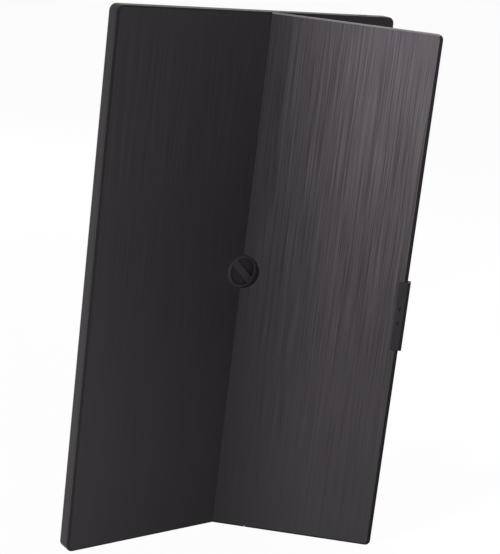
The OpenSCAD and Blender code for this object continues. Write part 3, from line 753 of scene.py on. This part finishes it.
def napped_lining():
    """Flap's inner lining, with a soft edge and a line pressed round it."""
    corner = FLAP_CORNER - LINING_INSET
    soft_edge = [(0, LINING_T), (0, 0.12), (0.06, 0.04), (0.18, 0)]         # inset, depth below the face
    pressed_line = [(2.0, 0), (2.25, 0.1), (2.6, 0.14), (2.95, 0.1), (3.2, 0)]
    rings = []
    for inset, depth in soft_edge + pressed_line:
        outline = round_rect(FLAP_X0 + inset, LINING_INSET + inset, FLAP_X1 - LINING_INSET - inset,
                             HEIGHT - LINING_INSET - inset, max(corner - inset, 0.2),
                             OUTER + FLAP_T - depth)
        rings.append([(*opened(x, y), z) for x, y, z in outline])
    sheet = as_object("flap_lining_sheet", stack(rings))
    return dressed(sheet, LINING_FINISH, "flap_lining")


def latch_clip():
    """Magnetic clip on the flap's free edge, with two grip marks."""
    face = OUTER - CLIP_PLATE
    foot = OUTER + CLIP_DEPTH
    inner = OUTER + FLAP_T + 0.1
    lip = FLAP_X1 - CLIP_OVERLAP
    outline = [(lip, OUTER), (lip, face + 0.1), (lip + 2.0, face), (FLAP_X1 + 0.2, face),
               (CLIP_X1 - 0.7, face + 0.35), (CLIP_X1, face + 1.3), (CLIP_X1, foot), (CLIP_X0, foot),
               (CLIP_X0, inner), (FLAP_X1 + 0.1, inner), (FLAP_X1 + 0.1, OUTER)]
    clip = as_object("latch_clip_shell", prism([opened(x, y) for x, y in outline], CLIP_Z0, CLIP_Z1))
    eased(clip, 0.28)
    marks = []
    for z in GRIP_MARKS:
        ring = [(FLAP_X1 - MARK_INSET + MARK_R * math.cos(a),
                 z + math.copysign(MARK_HALF, math.sin(a)) + MARK_R * math.sin(a))
                for a in (math.tau * (i + 0.5) / 24 for i in range(24))]
        rings = [[(*opened(x, y), h) for x, h in ring] for y in (face - OVERRUN, face + MARK_DEPTH)]
        marks.append(as_object("mark_cutter", stack(rings)))
    cut_out(clip, *marks)

    def is_dark(x, y, z):
        """In a mark, or past the flap's edge, where the side that faces away from the light gets painted
        shade.
        """
        dx = x - FOLD_X
        dy = y - OUTER
        past = FOLD_X + dx * math.cos(OPEN) - dy * math.sin(OPEN) - FLAP_X1
        depth = dx * math.sin(OPEN) + dy * math.cos(OPEN)
        in_mark = (abs(past + MARK_INSET) < MARK_R + 0.05 and -CLIP_PLATE + 0.05 < depth < 0.0
                   and CLIP_Z0 + 5 < z < CLIP_Z1 - 5)
        # painted shade: the clip's side past the flap's edge is darkened because it faces away from the
        # light
        return in_mark or past > 0.3

    return marked(dressed(clip, CLIP_FINISH, "latch_clip"), EDGE_FINISH, is_dark)


# ---- hub lock ----

def hub_seat():
    """Ring round the knob: level with the skin beside the fold, stepped under it on the other side."""
    recess = OUTER + SEAT_RECESS
    under = OUTER + SKIN_BED
    inner, lip = SEAT_LIP_R
    profile = [(SEAT_BORE_R, BACK), (SEAT_R, BACK), (SEAT_R, under), (lip, under),
               (lip, OUTER + 0.1), (lip - 0.1, OUTER), (inner + 0.1, OUTER), (inner, OUTER + 0.1),
               (inner, recess), (SEAT_BORE_R, recess)]
    rings = [circle(FOLD_X, HUB_Z, r, y, 96) for r, y in profile]
    ring = as_object("hub_seat", stack(rings, capped=False))
    return dressed(ring, HUB_FINISH, "hub_ring")


def hub_knob():
    """Knob with a chamfered edge and two scoops that leave a grip bar."""
    top = OUTER - KNOB_RISE
    back = OUTER + KNOB_BACK
    profile = [(STUD_HOLE_R, back), (KNOB_R, back), (KNOB_R, top + 0.5), (KNOB_R - 0.15, top + 0.2),
               (KNOB_R - 0.5, top), (0.05, top)]
    knob = turned("hub_knob_cap", FOLD_X, HUB_Z, profile, 96)
    limit = math.degrees(math.acos(HALF_BAR / SCOOP_R))
    cutters = []
    for turn in (SCOOP_TURN + 180, SCOOP_TURN):
        # a scoop is the part of a disc that lies past the bar's edge
        ring = arc(FOLD_X, HUB_Z, SCOOP_R, turn - limit, turn + limit, 24)
        rings = [[(x, y, z) for x, z in ring] for y in (top - OVERRUN, top + SCOOP_DEPTH)]
        cutters.append(as_object("scoop_cutter", stack(rings)))
    cut_out(knob, *cutters)
    eased(knob, 0.12, 2)

    def in_scoop(x, y, z):
        """On a scoop's floor or wall."""
        within = math.hypot(x - FOLD_X, z - HUB_Z) < SCOOP_R + 0.1
        return within and top + 0.15 < y < top + SCOOP_DEPTH + 0.05

    # painted shade in the scoops
    return marked(dressed(knob, HUB_FINISH, "hub_knob"), SCOOP_SHADE_FINISH, in_scoop)


# ---- assembly ----

for piece in (case_back(), screen_bezel(), fixed_leaf_skin(), hub_seat(), fixed_leaf_rim()):
    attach(piece, "monitor")

for piece in (flap_leaf_rim(), latch_clip(), napped_lining()):
    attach(piece, "flap")

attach(hub_knob(), "hub_lock")
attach(button_cap(), "button")

bend_to = Vector((*opened(FOLD_X + BEND[1], OUTER), 0)) * MM
for piece in (flap_leaf_skin(), fold_backing()):
    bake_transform(piece)


# ---- studio ----

def seen_directly(tree):
    """Socket that is 1 for rays that show a surface to the eye, in a reflection or through a film."""
    path = tree.nodes.new("ShaderNodeLightPath")
    seen = path.outputs["Is Camera Ray"]
    for kind in ("Is Glossy Ray", "Is Transmission Ray"):
        either = tree.nodes.new("ShaderNodeMath")
        either.operation = "MAXIMUM"
        tree.links.new(seen, either.inputs[0])
        tree.links.new(path.outputs[kind], either.inputs[1])
        seen = either.outputs[0]
    return seen


def plain_floor():
    """Large pale floor, white to the eye, that still takes the object's shadow."""
    reach = 9
    f = Finish("plain floor", (0.50, 0.50, 0.50), 0.9, Specular_IOR_Level=0.0)
    glow = f.tree.nodes.new("ShaderNodeEmission")
    glow.inputs["Strength"].default_value = 1.10
    blend = f.tree.nodes.new("ShaderNodeMixShader")
    f.tree.links.new((Wire(f, seen_directly(f.tree)) * 0.88).socket, blend.inputs[0])
    f.tree.links.new(f.shader.outputs[0], blend.inputs[1])
    f.tree.links.new(glow.outputs[0], blend.inputs[2])
    end = next(n for n in f.tree.nodes if n.type == "OUTPUT_MATERIAL")
    f.tree.links.new(blend.outputs[0], end.inputs["Surface"])
    mesh = bmesh.new()
    corners = ((-reach, -reach, 0), (reach, -reach, 0), (reach, reach, 0), (-reach, reach, 0))
    mesh.faces.new([mesh.verts.new(c) for c in corners])
    floor = as_object("studio_floor", mesh)
    if floor.data.polygons[0].normal.z < 0:
        floor.data.flip_normals()
    floor.data.materials.append(f.material)


def white_room():
    """World that is white to the eye and in reflections, and gives a soft low light."""
    world = bpy.data.worlds.new("white room")
    bpy.context.scene.world = world
    world.use_nodes = True
    tree = world.node_tree
    tree.nodes.clear()
    blend = tree.nodes.new("ShaderNodeMixShader")
    tree.links.new(seen_directly(tree), blend.inputs[0])
    for socket, strength in ((1, 0.03), (2, 1.0)):
        light = tree.nodes.new("ShaderNodeBackground")
        light.inputs["Color"].default_value = (1, 1, 1, 1)
        light.inputs["Strength"].default_value = strength
        tree.links.new(light.outputs[0], blend.inputs[socket])
    end = tree.nodes.new("ShaderNodeOutputWorld")
    tree.links.new(blend.outputs[0], end.inputs["Surface"])


def aimed(name, data, place, aim):
    """Links a lamp at a place so that it points at a spot; it lights matt surfaces without a hot glint."""
    lamp = bpy.data.objects.new(name, data)
    lamp.location = place
    lamp.rotation_euler = (Vector(aim) - Vector(place)).to_track_quat("-Z", "Y").to_euler()
    lamp.visible_glossy = False
    bpy.context.scene.collection.objects.link(lamp)


def soft_box(name, place, aim, size, power):
    """Square area lamp."""
    data = bpy.data.lights.new(name, "AREA")
    data.shape = "SQUARE"
    data.size = size
    data.energy = power
    aimed(name, data, place, aim)


def soft_spot(name, place, aim, width, power):
    """Spot lamp whose light fades from the middle of its cone outwards."""
    data = bpy.data.lights.new(name, "SPOT")
    data.spot_size = math.radians(width)
    data.spot_blend = 1.0
    data.shadow_soft_size = 0.1
    data.energy = power
    aimed(name, data, place, aim)


def eye():
    """Camera behind the monitor, to its left and above it, with a little roll."""
    data = bpy.data.cameras.new("eye")
    data.lens = 96.25
    data.sensor_width = 36
    data.sensor_fit = "AUTO"
    data.shift_x = -0.0993
    data.shift_y = -0.0993
    camera = bpy.data.objects.new("eye", data)
    place = (-0.6090, -0.8231, 0.4843)
    right = Vector((0.78771, -0.60359, 0.12327)).normalized()
    back = Vector((-0.61412, -0.75354, 0.23459)).normalized()
    turn = Matrix((right, back.cross(right), back)).transposed()
    camera.matrix_world = Matrix.Translation(place) @ turn.to_4x4()
    bpy.context.scene.collection.objects.link(camera)
    bpy.context.scene.camera = camera


plain_floor()
white_room()
soft_box("low side box", (-0.68, -0.24, 0.09), (0, -0.03, 0.17), 0.16, 3.9)
soft_spot("flap spot", (-0.51, -0.15, 1.20), (0.33, -0.20, 0.480), 50.0, 147)
soft_box("screen side box", (0.40, 1.30, 0.70), (0, 0, 0.19), 0.6, 5)
soft_box("lining side box", (1.30, -0.24, 0.40), (0.05, -0.05, 0.19), 0.4, 5)
eye()
bpy.context.scene.view_settings.view_transform = "Standard"
